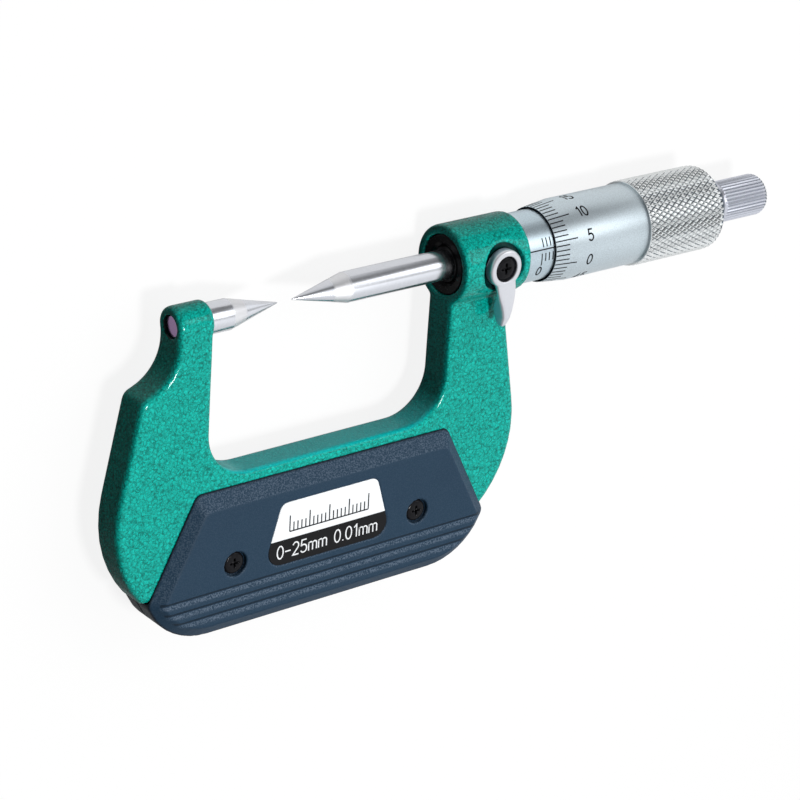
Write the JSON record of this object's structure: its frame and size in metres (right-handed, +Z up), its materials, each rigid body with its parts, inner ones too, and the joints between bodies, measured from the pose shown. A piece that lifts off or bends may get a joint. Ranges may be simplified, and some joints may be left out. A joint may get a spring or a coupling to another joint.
{
  "type": "point micrometer",
  "caption": "Outside micrometer with long pointed anvil and spindle, enamelled bow frame, insulating covers, lock lever, graduated sleeve and thimble, and ratchet stop.",
  "frame": {"origin": "middle of the bounding box's foot, on the surface that the micrometer lies on with its back down", "axes": "+X along the spindle from the anvil towards the ratchet knob, +Y from the bow of the frame towards the spindle, +Z up out of the front face"},
  "size_m": [0.1712, 0.0764, 0.0188],
  "materials": {
    "green_enamel": "hammered enamel with fine dark veins",
    "cover_plastic": "matte",
    "plate_white": "printed",
    "black_steel": "blackened",
    "black_polymer": "gloss",
    "ground_steel": "ground",
    "satin_chrome": "satin",
    "brass": "turned"
  },
  "bodies": {
    "frame": {"frame": "green_enamel", "anvil": "ground_steel", "front_cover": "cover_plastic", "rear_cover": "cover_plastic", "scale_plate": "plate_white", "front_cover_screw_1": "black_steel", "front_cover_screw_2": "black_steel", "rear_cover_screw_1": "black_steel", "rear_cover_screw_2": "black_steel", "wiper_ring": "black_polymer", "barrel": "ground_steel", "sleeve": "satin_chrome", "adjusting_nut": "ground_steel", "lock_shoe": "brass"},
    "spindle": {"spindle": "ground_steel"},
    "thimble": {"thimble": "satin_chrome", "ratchet_wheel": "ground_steel", "ratchet_screw": "ground_steel"},
    "ratchet_knob": {"ratchet_knob": "satin_chrome", "ratchet_clutch": "ground_steel", "ratchet_spring": "ground_steel"},
    "lock_lever": {"lock_lever": "satin_chrome", "lock_stud": "ground_steel", "lock_screw": "black_steel"}
  },
  "joints": [
    {"name": "spindle_slide", "type": "slide", "parent": "frame", "child": "spindle", "axis": [1, 0, 0], "range_m": [-0.00354, 0.02146]},
    {"name": "thimble_turn", "type": "hinge", "parent": "spindle", "child": "thimble", "pos_m": [0.05, 0.02885, 0.0094], "axis": [1, 0, 0], "range_deg": [-2548.8, 15451.2]},
    {"name": "ratchet_slip", "type": "hinge", "parent": "thimble", "child": "ratchet_knob", "pos_m": [0.08, 0.02885, 0.0094], "axis": [1, 0, 0], "continuous": true},
    {"name": "lever_turn", "type": "hinge", "parent": "frame", "child": "lock_lever", "pos_m": [0.00555, 0.02885, 0.0174], "axis": [0, 0, 1], "range_deg": [-30, 20]}
  ],
  "couplings": [
    {"joint": "thimble_turn", "follows": "spindle_slide", "rad_per_m": 12566}
  ]
}
